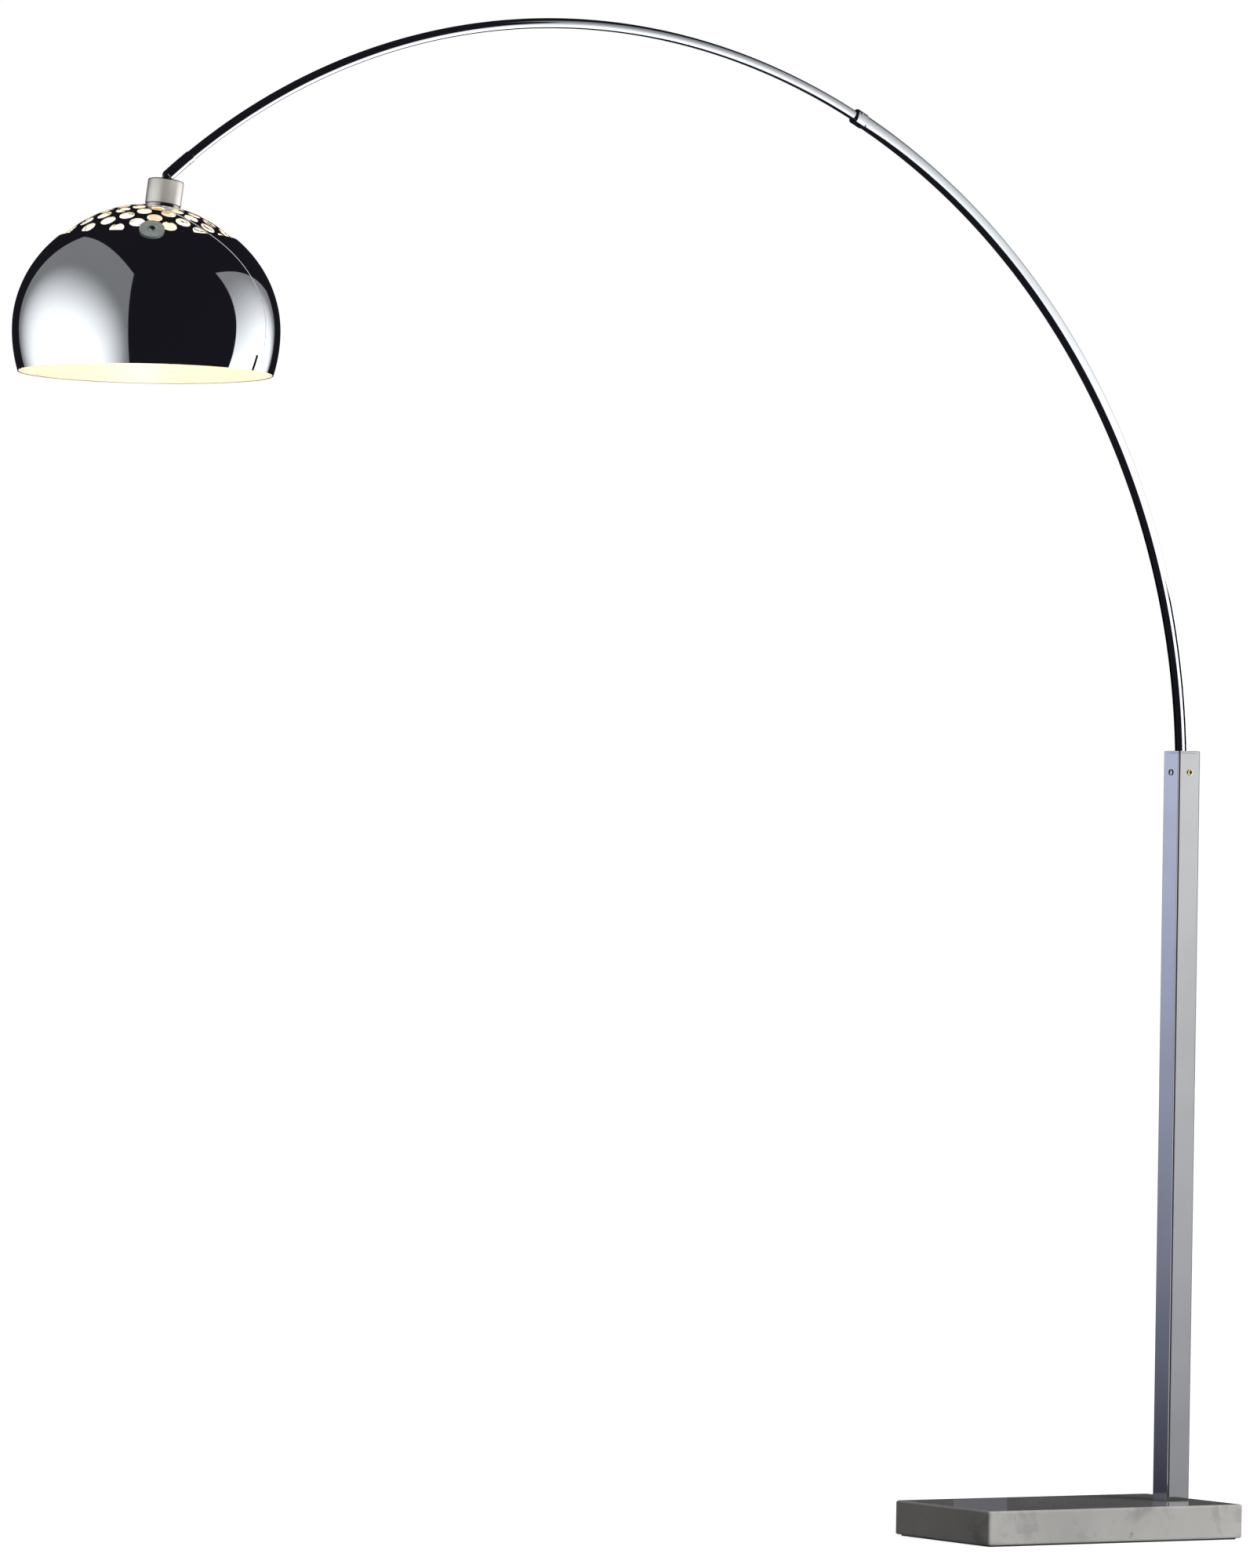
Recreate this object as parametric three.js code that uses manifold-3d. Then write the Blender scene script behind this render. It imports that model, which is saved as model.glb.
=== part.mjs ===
// Arc floor lamp: a marble slab, a square chrome pole, a two-stage telescoping arm bent to one
// circle, and a tilting dome head made of a perforated cap and a loose reflector that rests on it.
// Millimetres, +Z up. The origin is on the floor under the pole's axis, and the arm sweeps to -X.
import * as THREE from 'three';
import { mergeVertices } from 'three/addons/utils/BufferGeometryUtils.js';
import Module from 'manifold-3d';

const wasm = await Module();
wasm.setup();

// ---------------------------------------------------------------- driving dimensions
const GAP = 0.3; // play left between touching pieces

const PAD_THICK = 2;
const PAD_INSET = 6;
const SLAB = { left: 392, right: 56, front: 101, back: 137, thick: 49, edge: 3, corner: 4 };
const SLAB_TOP = PAD_THICK + SLAB.thick;
const BOLT_RECESS = { radius: 30, depth: 16 };
const BOLT = { radius: 6, headRadius: 11, headHeight: 7 };
const WASHER = { radius: 27, thick: 4 };

const POLE = { side: 39, wall: 1.5, corner: 3, top: 1141 };
const POLE_INSIDE = POLE.side - 2 * POLE.wall;
const TOP_CAP_THICK = 3;
const FOOT_PLUG_HEIGHT = 34;
const GROMMET = { height: SLAB_TOP + 55, radius: 8, bore: 3.6, neck: 5 };

const ARC = { radius: 1022, height: 1103 }; // the arm's circle: its centre is level with the pole top
const LOWER = { radius: 10, bore: 8.5, straight: 40, end: 64.6 };
const UPPER = { radius: 7.1, bore: 5.9, start: 50, end: 131.15 };
const SLEEVE = { radius: 8.15, start: 129.1, end: 131.75 };
const FERRULE = { radius: 11.2, length: 12, overlap: 6 };
const BUSH = { bottom: 1058, bore: 11.1 };
const CLAMP_SCREW = { height: POLE.top - 28, radius: 2.6, headRadius: 4.4, headHeight: 2.2 };

const REFLECTOR = { across: 180, up: 166, down: 190, rim: -58, opening: 120.5, wall: 1.5 };
const REFLECTOR_CENTRE = { x: -1729.4, z: 1657 };
const CAP = { radius: 166.4, wall: 1.5, skirt: 57, rise: 3, tilt: 7.4 };
const HOLE_ROWS = [
  { polar: 17.4, radius: 6.5, shift: 0 },
  { polar: 23.7, radius: 9, shift: 0.5 },
  { polar: 29.8, radius: 10, shift: 0 },
  { polar: 36.3, radius: 10.3, shift: 0.5 },
  { polar: 41.9, radius: 10.3, shift: 0 },
  { polar: 47.7, radius: 10.3, shift: 0.5 },
];
const HOLES_PER_ROW = 16;
const HOLES_TURN = -111.3; // degrees round the cap's axis to the first hole of an unshifted row

const NECK = { radius: 24.3, wall: 2.2, bottom: 168.7, top: 202, floor: 3 };
const FLANGE = { radius: 23.4, top: 168.4 };
const PIVOT = { height: 189, radius: 2.5 };
const SLOT = { length: 31, width: 19.6 };
const BLADE = { thick: 6, width: 11 };
const NIPPLE = { radius: 5, bore: 3.2, bottom: 142, top: 178 };
const SOCKET = { radius: 19.5, bore: 14, top: 156, bottom: 106, roof: 12 };
const BULB = { radius: 30, neck: 13, bottom: 36, seat: 112 };
const CLIPS = { count: 3, radius: 17, thick: 2.4, firstAngle: -116 };

const CAP_CENTRE = { x: REFLECTOR_CENTRE.x, z: REFLECTOR_CENTRE.z + CAP.rise };

// ---------------------------------------------------------------- finishes
const finish = (color, roughness, metalness) => ({ color, roughness, metalness });
const CHROME = finish(0xc9ccd2, 0.08, 1);
const SATIN = finish(0xcfc9bf, 0.3, 1);
const STEEL = finish(0x9a9da3, 0.35, 1);
const BRASS = finish(0xb08d4c, 0.3, 1);
const MARBLE = finish(0xb3b1ad, 0.18, 0);
const FELT = finish(0x2c2c2e, 0.95, 0);
const NYLON = finish(0x23252a, 0.6, 0);
const CLEAR_PLASTIC = finish(0x9aa59c, 0.35, 0);
const WHITE_CERAMIC = finish(0xe9e6de, 0.3, 0);
const GLASS = finish(0xfff0cf, 0.25, 0);
const RUBBER = finish(0x1c1c1d, 0.8, 0);

// ---------------------------------------------------------------- helpers
const radians = THREE.MathUtils.degToRad;

/** A closed three.js geometry as a manifold solid. */
function solid(geometry) {
  const bare = geometry.clone();
  bare.deleteAttribute('normal');
  bare.deleteAttribute('uv');
  const merged = mergeVertices(bare, 1e-4);
  return new wasm.Manifold(new wasm.Mesh({
    numProp: 3,
    vertProperties: new Float32Array(merged.attributes.position.array),
    triVerts: new Uint32Array(merged.index.array),
  }));
}

/** A manifold solid back as a three.js geometry. */
function geometryOf(body) {
  const { vertProperties, triVerts } = body.asOriginal().simplify(0.02).getMesh();
  const geometry = new THREE.BufferGeometry();
  geometry.setAttribute('position', new THREE.BufferAttribute(vertProperties, 3));
  geometry.setIndex(new THREE.BufferAttribute(triVerts, 1));
  geometry.computeVertexNormals();
  return geometry;
}

const cut = (body, ...tools) => {
  const left = tools.reduce((rest, tool) => rest.subtract(solid(tool)), solid(body));
  return geometryOf(left);
};
const join = (...bodies) => geometryOf(bodies.map(solid).reduce((a, b) => a.add(b)));

function mesh(name, geometry, look) {
  const piece = new THREE.Mesh(geometry, new THREE.MeshStandardMaterial(look));
  piece.name = name;
  return piece;
}

/** An upright cylinder or prism between two heights. */
function rod(radius, bottom, top, sides = 24) {
  return new THREE.CylinderGeometry(radius, radius, top - bottom, sides)
    .rotateX(Math.PI / 2)
    .translate(0, 0, (top + bottom) / 2);
}

/** A body of revolution about +Z from [radius, height] pairs that end on the axis or close. */
function turned(profile, segments = 32) {
  const points = profile.map(([r, z]) => new THREE.Vector2(r, z));
  return new THREE.LatheGeometry(points, segments).rotateX(Math.PI / 2);
}

/** A tube of revolution: the same closed ring profile for outer and inner radius. */
function ring(outer, inner, bottom, top, segments = 28) {
  return turned([[inner, bottom], [outer, bottom], [outer, top], [inner, top], [inner, bottom]], segments);
}

function roundedSquare(width, depth, radius) {
  const [x, y] = [width / 2, depth / 2];
  const shape = new THREE.Shape();
  shape.absarc(x - radius, y - radius, radius, 0, Math.PI / 2);
  shape.absarc(radius - x, y - radius, radius, Math.PI / 2, Math.PI);
  shape.absarc(radius - x, radius - y, radius, Math.PI, Math.PI * 1.5);
  shape.absarc(x - radius, radius - y, radius, Math.PI * 1.5, Math.PI * 2);
  shape.closePath();
  return shape;
}

function upright(shape, bottom, top, curveSegments = 3) {
  return new THREE.ExtrudeGeometry(shape, { depth: top - bottom, bevelEnabled: false, curveSegments })
    .translate(0, 0, bottom);
}

/** A point on the arm's circle, at an angle in degrees up from the pole side. */
function onArc(angle) {
  const turn = radians(angle);
  return new THREE.Vector3(
    ARC.radius * (Math.cos(turn) - 1),
    0,
    ARC.height + ARC.radius * Math.sin(turn),
  );
}

/** The arm's centreline between two angles, with an optional straight start below the first. */
class ArmLine extends THREE.Curve {
  constructor(from, to, straight = 0) {
    super();
    this.from = from;
    this.to = to;
    this.straight = straight;
    this.bent = radians(to - from) * ARC.radius;
  }

  getPoint(t) {
    const along = t * (this.straight + this.bent) - this.straight;
    if (along < 0) return new THREE.Vector3(0, 0, ARC.height + along);
    return onArc(this.from + THREE.MathUtils.radToDeg(along / ARC.radius));
  }
}

/** A round tube or rod swept along a curve. */
function swept(curve, radius, bore, steps, sides) {
  const section = new THREE.Shape();
  section.absarc(0, 0, radius, 0, Math.PI * 2);
  if (bore > 0) {
    const inside = new THREE.Path();
    inside.absarc(0, 0, bore, 0, Math.PI * 2, true);
    section.holes.push(inside);
  }
  return new THREE.ExtrudeGeometry(section, {
    steps,
    curveSegments: sides / 2, // an arc gets twice this many points
    extrudePath: curve,
  });
}

// ---------------------------------------------------------------- base and pole
function makeBase() {
  const width = SLAB.left + SLAB.right;
  const depth = SLAB.front + SLAB.back;
  const middle = [(SLAB.right - SLAB.left) / 2, (SLAB.back - SLAB.front) / 2];

  const padOutline = roundedSquare(width - 2 * PAD_INSET, depth - 2 * PAD_INSET, SLAB.corner);
  const pad = upright(padOutline, 0, PAD_THICK - 0.05)
    .translate(...middle, 0);

  const block = new THREE.ExtrudeGeometry(
    roundedSquare(width - 2 * SLAB.edge, depth - 2 * SLAB.edge, SLAB.corner),
    {
      depth: SLAB.thick - 2 * SLAB.edge,
      bevelThickness: SLAB.edge,
      bevelSize: SLAB.edge,
      bevelSegments: 3,
      curveSegments: 3,
    },
  ).translate(...middle, PAD_THICK + SLAB.edge);
  const recessTop = PAD_THICK + BOLT_RECESS.depth;
  const slab = cut(
    block,
    rod(BOLT_RECESS.radius, 0, recessTop, 32),
    rod(BOLT.radius + 1, 0, SLAB_TOP + 5),
  );

  const washer = ring(WASHER.radius, BOLT.radius + GAP, recessTop - WASHER.thick - GAP, recessTop - GAP, 32);
  const headTop = recessTop - WASHER.thick - 2 * GAP;
  const bolt = join(
    rod(BOLT.headRadius, headTop - BOLT.headHeight, headTop, 6),
    rod(BOLT.radius - GAP, headTop - 1, SLAB_TOP + FOOT_PLUG_HEIGHT - 6),
  );
  const inside = POLE_INSIDE - 2 * GAP;
  const plug = cut(
    upright(roundedSquare(inside, inside, POLE.corner - 1), SLAB_TOP + GAP, SLAB_TOP + FOOT_PLUG_HEIGHT),
    rod(BOLT.radius + GAP, SLAB_TOP - 5, SLAB_TOP + FOOT_PLUG_HEIGHT + 5),
  );
  return [
    mesh('floor_pad', pad, FELT),
    mesh('marble_slab', slab, MARBLE),
    mesh('base_washer', washer, STEEL),
    mesh('base_bolt', bolt, STEEL),
    mesh('pole_foot_plug', plug, STEEL),
  ];
}

function makePole() {
  const half = POLE.side / 2;
  const screwHole = CLAMP_SCREW.radius + GAP;
  const frontHole = rod(screwHole, -2 * half, 0, 12).rotateX(-Math.PI / 2);
  const leftHole = rod(screwHole, -2 * half, 0, 12).rotateY(Math.PI / 2);
  frontHole.translate(0, 0, CLAMP_SCREW.height);
  leftHole.translate(0, 0, CLAMP_SCREW.height);
  const grommetHole = rod(GROMMET.neck + GAP, 0, 2 * half, 16).rotateX(-Math.PI / 2)
    .translate(0, 0, GROMMET.height);

  const tube = cut(
    upright(roundedSquare(POLE.side, POLE.side, POLE.corner), SLAB_TOP + GAP, POLE.top),
    upright(roundedSquare(POLE_INSIDE, POLE_INSIDE, POLE.corner - POLE.wall), 0, POLE.top + 5),
    frontHole,
    leftHole,
    grommetHole,
  );

  const inside = POLE_INSIDE - 2 * GAP;
  const bush = cut(
    upright(roundedSquare(inside, inside, POLE.corner - POLE.wall), BUSH.bottom, POLE.top),
    rod(BUSH.bore, BUSH.bottom - 5, POLE.top + 5, 28).translate(-GAP, 0, 0),
    frontHole,
    leftHole,
  );
  const capBottom = POLE.top + GAP;
  const cap = cut(
    upright(roundedSquare(POLE.side, POLE.side, POLE.corner), capBottom, capBottom + TOP_CAP_THICK),
    rod(BUSH.bore, POLE.top, POLE.top + 10, 28).translate(-2 * GAP, 0, 0),
  );
  return [
    mesh('pole_tube', tube, CHROME),
    mesh('arm_bush', bush, NYLON),
    mesh('pole_top_cap', cap, CHROME),
    ...makeClampScrews(half),
    makeGrommet(half),
    makePoleLead(),
  ];
}

/** The two screws that hold the arm's foot: a cross-head in front, a socket screw on the left. */
function makeClampScrews(half) {
  const tip = LOWER.radius + 2 * GAP;
  const body = () => join(
    rod(CLAMP_SCREW.radius, tip, half + 1, 12),
    turned([
      [0, half + GAP],
      [CLAMP_SCREW.headRadius, half + GAP],
      [CLAMP_SCREW.headRadius, half + GAP + 0.6 * CLAMP_SCREW.headHeight],
      [0.7 * CLAMP_SCREW.headRadius, half + GAP + CLAMP_SCREW.headHeight],
      [0, half + GAP + CLAMP_SCREW.headHeight],
    ], 18),
  );
  const top = half + GAP + CLAMP_SCREW.headHeight;
  const bar = () => new THREE.BoxGeometry(5, 0.9, 2.4).translate(0, 0, top);
  const cross = cut(body(), bar(), bar().rotateZ(Math.PI / 2));
  const socket = cut(body(), rod(2.1, top - 1.6, top + 1, 6));
  cross.rotateX(Math.PI / 2).translate(0, 0, CLAMP_SCREW.height);
  socket.rotateY(-Math.PI / 2).translate(0, 0, CLAMP_SCREW.height);
  return [
    mesh('clamp_screw_front', cross, BRASS),
    mesh('clamp_screw_left', socket, STEEL),
  ];
}

/** The gland at the back of the pole's foot where a mains lead would enter. */
function makeGrommet(half) {
  const inner = half - POLE.wall - 2;
  const profile = [
    [GROMMET.bore, inner],
    [GROMMET.neck, inner],
    [GROMMET.neck, half + GAP],
    [GROMMET.radius, half + GAP],
    [GROMMET.radius, half + 2],
    [GROMMET.radius - 1.5, half + 3.5],
    [GROMMET.bore, half + 3.5],
    [GROMMET.bore, inner],
  ];
  const geometry = turned(profile, 20).rotateX(-Math.PI / 2).translate(0, 0, GROMMET.height);
  return mesh('cable_grommet', geometry, RUBBER);
}

/** The lead inside the pole, from behind the grommet up into the arm's foot. */
function makePoleLead() {
  const points = [
    new THREE.Vector3(0, 11, GROMMET.height + 4),
    new THREE.Vector3(0, 4, GROMMET.height + 30),
    new THREE.Vector3(0, 0, GROMMET.height + 70),
    ...[0.3, 0.6, 0.85].map((part) => {
      const height = THREE.MathUtils.lerp(GROMMET.height, ARC.height, part);
      return new THREE.Vector3(0, 0, height);
    }),
    ...[0, 6, 12, 18].map(onArc),
  ];
  const line = new THREE.CatmullRomCurve3(points, false, 'centripetal');
  return mesh('pole_lead', swept(line, 2.6, 0, 34, 8), RUBBER);
}

// ---------------------------------------------------------------- arm
function makeLowerArm() {
  const tube = swept(new ArmLine(0, LOWER.end, LOWER.straight), LOWER.radius, LOWER.bore, 30, 14);
  const perMm = THREE.MathUtils.radToDeg(1 / ARC.radius);
  const mouth = new ArmLine(LOWER.end - FERRULE.overlap * perMm, LOWER.end + FERRULE.length * perMm);
  const seat = new ArmLine(LOWER.end - 2 * FERRULE.overlap * perMm, LOWER.end + GAP * perMm);
  const ferrule = cut(
    swept(mouth, FERRULE.radius, UPPER.radius + GAP + 0.1, 1, 28),
    swept(seat, LOWER.radius + GAP, 0, 1, 28),
  );
  const screwAt = onArc(LOWER.end + 0.55 * FERRULE.length * perMm);
  const screw = turned([[0, 0], [1.7, 0], [1.7, 1.4], [1.1, 2], [0, 2]], 12)
    .translate(0, 0, FERRULE.radius + GAP)
    .rotateX(radians(58))
    .rotateY(-radians(LOWER.end - 90))
    .translate(screwAt.x, screwAt.y, screwAt.z);
  return [
    mesh('lower_arm_tube', tube, CHROME),
    mesh('arm_ferrule', ferrule, CHROME),
    mesh('ferrule_screw', screw, STEEL),
  ];
}

function makeUpperArm() {
  const perMm = THREE.MathUtils.radToDeg(1 / ARC.radius);
  const tube = swept(new ArmLine(UPPER.start, UPPER.end), UPPER.radius, UPPER.bore, 32, 12);
  const guide = join(
    swept(new ArmLine(UPPER.start - 8 * perMm, UPPER.start - GAP * perMm), LOWER.bore - 2 * GAP, 3.6, 1, 20),
    swept(new ArmLine(UPPER.start - 4 * perMm, UPPER.start + 10 * perMm), UPPER.bore - 0.5, 3.6, 1, 20),
  );
  const sleeve = swept(new ArmLine(SLEEVE.start, SLEEVE.end), SLEEVE.radius, UPPER.radius + GAP, 2, 20);
  const lead = swept(new ArmLine(UPPER.start + 1, SLEEVE.start - 0.6), 2.4, 0, 24, 8);
  return [
    mesh('upper_arm_tube', tube, CHROME),
    mesh('guide_plug', guide, NYLON),
    mesh('tip_sleeve', sleeve, CHROME),
    mesh('arm_lead', lead, RUBBER),
    makeKnuckle(),
  ];
}

/** The tip's knuckle: a plug in the tube, a collar in the sleeve, and a blade down to the pivot. */
function makeKnuckle() {
  const perMm = THREE.MathUtils.radToDeg(1 / ARC.radius);
  const tilt = radians(CAP.tilt);
  const eye = new THREE.Vector3(
    CAP_CENTRE.x + PIVOT.height * Math.sin(tilt),
    0,
    CAP_CENTRE.z + PIVOT.height * Math.cos(tilt),
  );
  const collarAt = onArc(SLEEVE.end + 0.6 * perMm);
  const inTube = new ArmLine(SLEEVE.end - 18 * perMm, SLEEVE.end + 0.6 * perMm);
  const plug = swept(inTube, UPPER.bore - 0.5, 0, 2, 16);
  const collar = swept(
    new ArmLine(UPPER.end + GAP * perMm, SLEEVE.end + 1.5 * perMm),
    UPPER.radius,
    0,
    1,
    20,
  );
  const reach = collarAt.clone().sub(eye);
  const blade = new THREE.BoxGeometry(BLADE.width, BLADE.thick, reach.length())
    .translate(0, 0, reach.length() / 2)
    .rotateY(Math.atan2(reach.x, reach.z))
    .translate(eye.x, 0, eye.z);
  const round = (radius, length) => rod(radius, -length / 2, length / 2, 20)
    .rotateX(Math.PI / 2)
    .translate(eye.x, 0, eye.z);
  const above = swept(
    new ArmLine(SLEEVE.end - 20 * perMm, SLEEVE.end + GAP * perMm),
    SLEEVE.radius + 3,
    0,
    1,
    20,
  );
  const body = join(plug, collar, cut(blade, above), round(BLADE.width / 2 + 0.6, BLADE.thick));
  return mesh('knuckle', cut(body, round(PIVOT.radius + GAP, 2 * BLADE.thick)), SATIN);
}

// ---------------------------------------------------------------- head (frame at the cap's centre)
function makeNeck() {
  const shell = turned([
    [NIPPLE.radius + GAP, NECK.bottom],
    [NECK.radius, NECK.bottom],
    [NECK.radius, NECK.top - 2],
    [NECK.radius - 0.6, NECK.top - 0.6],
    [NECK.radius - 2, NECK.top],
    [0, NECK.top],
    [0, NECK.top - NECK.floor],
    [NECK.radius - NECK.wall, NECK.top - NECK.floor],
    [NECK.radius - NECK.wall, NECK.bottom + NECK.floor],
    [NIPPLE.radius + GAP, NECK.bottom + NECK.floor],
    [NIPPLE.radius + GAP, NECK.bottom],
  ], 36);
  const slot = new THREE.BoxGeometry(SLOT.length, SLOT.width, 4 * NECK.floor).translate(0, 0, NECK.top);
  const cup = cut(shell, slot);

  const seat = CAP.radius + GAP;
  const onCap = (r) => [r, Math.sqrt(seat * seat - r * r)];
  const inner = NIPPLE.radius + GAP;
  const flange = turned([
    onCap(inner),
    onCap(12),
    onCap(FLANGE.radius),
    [FLANGE.radius, FLANGE.top - 1],
    [FLANGE.radius - 1, FLANGE.top],
    [inner, FLANGE.top],
    onCap(inner),
  ], 36);

  const floor = NECK.bottom + NECK.floor + GAP;
  const ear = () => new THREE.BoxGeometry(16, 3, PIVOT.height + 6 - floor)
    .translate(0, 0, (PIVOT.height + 6 + floor) / 2);
  const earOut = BLADE.thick / 2 + GAP + 1.5;
  const pinHole = rod(PIVOT.radius + GAP, -12, 12, 16).rotateX(Math.PI / 2).translate(0, 0, PIVOT.height);
  const fork = cut(
    join(
      ring(18, NIPPLE.radius + GAP, floor, floor + 2.4, 28),
      ear().translate(0, earOut, 0),
      ear().translate(0, -earOut, 0),
    ),
    pinHole,
    rod(NIPPLE.radius + GAP, floor - 5, NIPPLE.top + 1, 16),
  );
  const pin = rod(PIVOT.radius, -9, 9, 16).rotateX(Math.PI / 2).translate(0, 0, PIVOT.height);
  const nipple = ring(NIPPLE.radius, NIPPLE.bore, NIPPLE.bottom, NIPPLE.top, 16);
  return [
    mesh('neck_cup', cup, SATIN),
    mesh('neck_flange', flange, CHROME),
    mesh('pivot_fork', fork, STEEL),
    mesh('pivot_pin', pin, STEEL),
    mesh('threaded_nipple', nipple, BRASS),
  ];
}

/** The perforated cap: a shallow spherical bowl with staggered rows of round holes. */
function makeCap() {
  const inner = CAP.radius - CAP.wall;
  const hole = NIPPLE.radius + GAP;
  const between = HOLE_ROWS.slice(1).map((row, i) => (row.polar + HOLE_ROWS[i].polar) / 2);
  const edges = [THREE.MathUtils.radToDeg(Math.asin(hole / CAP.radius)), 9, ...between, 52.5, CAP.skirt];
  const arc = (radius) => edges.map((polar) => [
    radius * Math.sin(radians(polar)),
    radius * Math.cos(radians(polar)),
  ]);
  const outerLine = arc(CAP.radius);
  const innerLine = arc(inner);
  const facets = 2 * HOLES_PER_ROW; // each hole of the outer rows sits in the middle of a facet
  const bowl = turned([...innerLine, ...outerLine.reverse(), innerLine[0]], facets)
    .rotateZ(radians(HOLES_TURN + 180 / facets));
  let body = solid(bowl);
  for (const row of HOLE_ROWS) {
    for (let i = 0; i < HOLES_PER_ROW; i += 1) {
      const turn = HOLES_TURN + ((i + row.shift) * 360) / HOLES_PER_ROW;
      const drill = rod(row.radius, inner - 8, CAP.radius + 8, 8)
        .rotateY(radians(row.polar))
        .rotateZ(radians(turn));
      body = body.subtract(solid(drill));
    }
  }
  return mesh('perforated_cap', geometryOf(body), CHROME);
}

function makeLampholder() {
  const nutTop = CAP.radius - CAP.wall - 1.2;
  const nut = cut(rod(13, SOCKET.top + 3, nutTop, 6), rod(NIPPLE.radius + GAP, SOCKET.top, CAP.radius, 16));
  const holder = turned([
    [NIPPLE.radius + GAP, SOCKET.top],
    [NIPPLE.radius + GAP, SOCKET.top - SOCKET.roof],
    [SOCKET.bore, SOCKET.top - SOCKET.roof],
    [SOCKET.bore, SOCKET.bottom],
    [SOCKET.radius, SOCKET.bottom],
    [SOCKET.radius, SOCKET.bottom + 4],
    [SOCKET.radius - 1.5, SOCKET.bottom + 6],
    [SOCKET.radius - 1.5, SOCKET.top - 8],
    [SOCKET.radius - 7, SOCKET.top],
    [NIPPLE.radius + GAP, SOCKET.top],
  ], 28);
  const contactTop = NIPPLE.bottom - GAP;
  const contact = rod(4, contactTop - 2, contactTop, 14);
  const baseTop = contactTop - 2 - GAP;
  const screwBase = turned([
    [0, BULB.seat - 4],
    [SOCKET.bore - 1.4, BULB.seat - 4],
    [SOCKET.bore - 0.6, BULB.seat + 2],
    [SOCKET.bore - 0.6, baseTop - 6],
    [5, baseTop],
    [0, baseTop],
  ], 24);
  const centre = BULB.bottom + BULB.radius;
  const globe = [];
  const steps = 9;
  const shoulder = Math.PI - Math.asin(0.62);
  for (let i = 0; i <= steps; i += 1) {
    const turn = (shoulder * i) / steps;
    globe.push([BULB.radius * Math.sin(turn), centre - BULB.radius * Math.cos(turn)]);
  }
  globe[0][0] = 0;
  const glassTop = BULB.seat - 4 - GAP;
  const throat = [[BULB.neck - 0.6, glassTop - 8], [BULB.neck - 0.8, glassTop], [0, glassTop]];
  const glass = turned([...globe, ...throat], 24);
  return [
    mesh('socket_nut', nut, BRASS),
    mesh('lamp_socket', holder, WHITE_CERAMIC),
    mesh('centre_contact', contact, BRASS),
    mesh('bulb_screw_base', screwBase, STEEL),
    mesh('bulb_glass', glass, GLASS),
  ];
}

// ---------------------------------------------------------------- reflector (frame at its centre)
/** The reflector's section between its two faces, grown outward and inward by an allowance. */
function reflectorProfile(allowance, steps) {
  const grown = (by) => ({ across: REFLECTOR.across + by, up: REFLECTOR.up + by, down: REFLECTOR.down + by });
  const from = Math.asin(REFLECTOR.opening / REFLECTOR.across);
  const to = Math.acos(REFLECTOR.rim / REFLECTOR.down);
  const line = (oval) => Array.from({ length: steps + 1 }, (_, i) => {
    const polar = from + ((to - from) * i) / steps;
    const tall = polar < Math.PI / 2 ? oval.up : oval.down;
    return [oval.across * Math.sin(polar), tall * Math.cos(polar)];
  });
  const outside = line(grown(allowance));
  const inside = line(grown(-REFLECTOR.wall - allowance));
  return [...inside, ...outside.reverse(), inside[0]];
}

function makeReflector() {
  const shell = turned(reflectorProfile(0, 11), 40);
  const groove = turned(reflectorProfile(GAP, 11), 40);
  const pieces = [mesh('reflector', shell, CHROME)];
  const edge = Math.sqrt(1 - (REFLECTOR.opening / REFLECTOR.across) ** 2) * REFLECTOR.up;
  const seat = new THREE.Vector3(REFLECTOR.opening, 0, edge - CAP.rise); // from the cap's centre
  const distance = seat.length();
  const polar = Math.atan2(seat.x, seat.z);
  const outside = distance + GAP + CLIPS.thick;
  for (let i = 0; i < CLIPS.count; i += 1) {
    const turn = radians(CLIPS.firstAngle + (360 * i) / CLIPS.count);
    const place = (geometry) => geometry.rotateY(polar).rotateZ(turn).translate(0, 0, CAP.rise);
    const bottom = CAP.radius + 2 * GAP;
    const disc = rod(CLIPS.radius, bottom - 3, outside, 20);
    const ballSteps = 6;
    const reach = 14;
    const dome = Array.from({ length: ballSteps + 1 }, (_, k) => {
      const lean = radians((reach * (ballSteps - k)) / ballSteps);
      return [bottom * Math.sin(lean), bottom * Math.cos(lean)];
    });
    dome[ballSteps][0] = 0;
    const below = turned([[0, bottom - 30], [dome[0][0], bottom - 30], ...dome], 32);
    const puck = cut(place(disc), groove, place(below));
    pieces.push(mesh(`edge_clip_${i + 1}`, puck, CLEAR_PLASTIC));
    const head = turned([
      [0, outside + GAP],
      [4.6, outside + GAP],
      [4.2, outside + 1.6],
      [2.4, outside + 2.4],
      [0, outside + 2.4],
    ], 16);
    const drive = new THREE.BoxGeometry(6, 1, 1.2).translate(0, 0, outside + 2.4);
    pieces.push(mesh(`clip_screw_${i + 1}`, place(cut(head, drive)), STEEL));
  }
  return pieces;
}

// ---------------------------------------------------------------- assembly
const lamp = new THREE.Group();
lamp.add(...makeBase(), ...makePole(), ...makeLowerArm(), ...makeUpperArm());

const head = new THREE.Group();
head.position.set(CAP_CENTRE.x, 0, CAP_CENTRE.z);
head.rotation.y = radians(CAP.tilt);
head.add(...makeNeck(), makeCap(), ...makeLampholder());
lamp.add(head);

const shade = new THREE.Group();
shade.position.set(REFLECTOR_CENTRE.x, 0, REFLECTOR_CENTRE.z);
shade.add(...makeReflector());
lamp.add(shade);

export default lamp;
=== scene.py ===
"""Looks for the arc floor lamp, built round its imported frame. Metres, +Z up, arm towards -X."""
import math

import bmesh
import bpy
from mathutils import Matrix, Vector


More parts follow.
